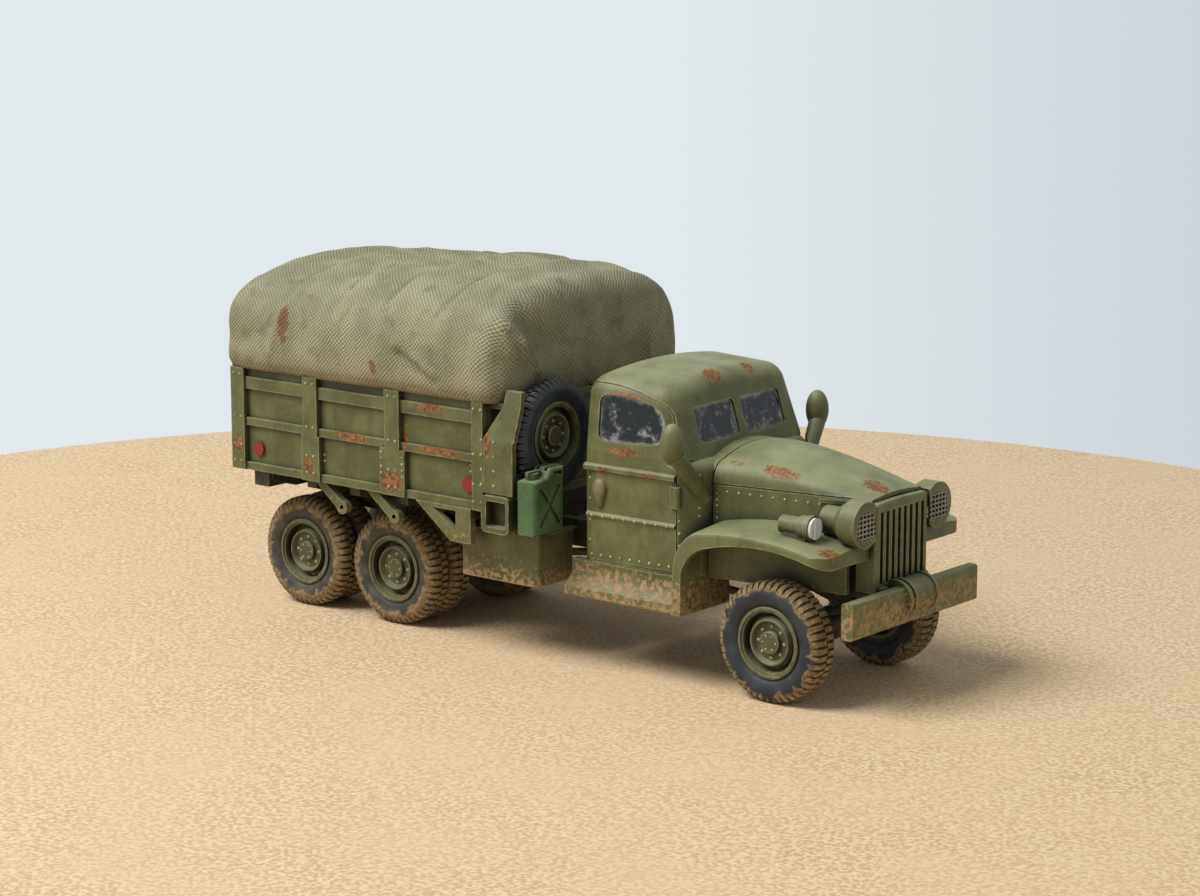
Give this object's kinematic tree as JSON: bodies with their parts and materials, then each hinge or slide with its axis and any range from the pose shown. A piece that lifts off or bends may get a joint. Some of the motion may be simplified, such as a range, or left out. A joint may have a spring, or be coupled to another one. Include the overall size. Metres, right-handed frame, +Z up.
{
  "type": "military cargo truck model",
  "caption": "Scale model of a six-wheeled military cargo truck: hooded cab, slatted cargo body under a closed canvas cover, twin rear wheels, spare and fuel can behind the cab",
  "frame": {"origin": "on the ground, midway along the whole length and on the centreline", "axes": "+X forward, +Y to the driver's left, +Z up"},
  "size_m": [0.106, 0.0416, 0.0512],
  "materials": {
    "olive_paint": "matte weathered olive drab paint on cast resin",
    "chassis_paint": "matte dark olive paint with mud",
    "canvas": "moulded cloth texture, painted khaki",
    "tyre": "matte, muddy",
    "wheel_paint": "matte olive paint, dry-brushed edges",
    "can_paint": "matte field green paint",
    "clear": "clear thin sheet, dusty",
    "lamp_glass": "clear ribbed lens",
    "guard_metal": "worn silver paint on guard bars",
    "reflector_red": "glossy red",
    "interior": "dark matte paint"
  },
  "bodies": {
    "truck": {"bed_floor": "chassis_paint", "bed_front_wall": "olive_paint", "bench_seat": "interior", "body_brackets": "olive_paint", "bonnet": "olive_paint", "cab_floor": "interior", "cab_shell": "olive_paint", "canvas_cover": "canvas", "chassis_frame": "chassis_paint", "dashboard": "interior", "door_left": "olive_paint", "door_right": "olive_paint", "engine_block": "chassis_paint", "fender_left": "olive_paint", "fender_right": "olive_paint", "front_axle": "chassis_paint", "front_bumper": "olive_paint", "fuel_tanks": "olive_paint", "grille": "olive_paint", "headlamp_guards": "guard_metal", "headlamps": "olive_paint", "jerrycan": "can_paint", "lamp_lenses": "lamp_glass", "leaf_springs": "chassis_paint", "marker_lamps": "olive_paint", "middle_axle": "chassis_paint", "mirrors": "olive_paint", "radiator": "chassis_paint", "rear_axle": "chassis_paint", "reflectors": "reflector_red", "running_boards": "olive_paint", "side_panel_left": "olive_paint", "side_panel_right": "olive_paint", "spare_guards": "olive_paint", "spare_rim": "wheel_paint", "spare_tyre": "tyre", "steering_wheel": "interior", "step_boxes": "olive_paint", "tailgate": "olive_paint", "tow_hook": "chassis_paint", "transmission": "chassis_paint", "window_glass": "clear"},
    "front_wheel_left": {"front_tyre_left": "tyre", "front_rim_left": "wheel_paint"},
    "front_wheel_right": {"front_tyre_right": "tyre", "front_rim_right": "wheel_paint"},
    "middle_wheels_left": {"middle_tyres_left": "tyre", "middle_rims_left": "wheel_paint"},
    "middle_wheels_right": {"middle_tyres_right": "tyre", "middle_rims_right": "wheel_paint"},
    "rear_wheels_left": {"rear_tyres_left": "tyre", "rear_rims_left": "wheel_paint"},
    "rear_wheels_right": {"rear_tyres_right": "tyre", "rear_rims_right": "wheel_paint"}
  },
  "joints": [
    {"name": "front_wheel_left_spin", "type": "hinge", "parent": "truck", "child": "front_wheel_left", "pos_m": [0.0387, 0.0102, 0.008], "axis": [0, 1, 0], "continuous": true},
    {"name": "front_wheel_right_spin", "type": "hinge", "parent": "truck", "child": "front_wheel_right", "pos_m": [0.0387, -0.0102, 0.008], "axis": [0, 1, 0], "continuous": true},
    {"name": "middle_wheel_left_spin", "type": "hinge", "parent": "truck", "child": "middle_wheels_left", "pos_m": [-0.0268, 0.0102, 0.008], "axis": [0, 1, 0], "continuous": true},
    {"name": "middle_wheel_right_spin", "type": "hinge", "parent": "truck", "child": "middle_wheels_right", "pos_m": [-0.0268, -0.0102, 0.008], "axis": [0, 1, 0], "continuous": true},
    {"name": "rear_wheel_left_spin", "type": "hinge", "parent": "truck", "child": "rear_wheels_left", "pos_m": [-0.0443, 0.0102, 0.008], "axis": [0, 1, 0], "continuous": true},
    {"name": "rear_wheel_right_spin", "type": "hinge", "parent": "truck", "child": "rear_wheels_right", "pos_m": [-0.0443, -0.0102, 0.008], "axis": [0, 1, 0], "continuous": true}
  ]
}
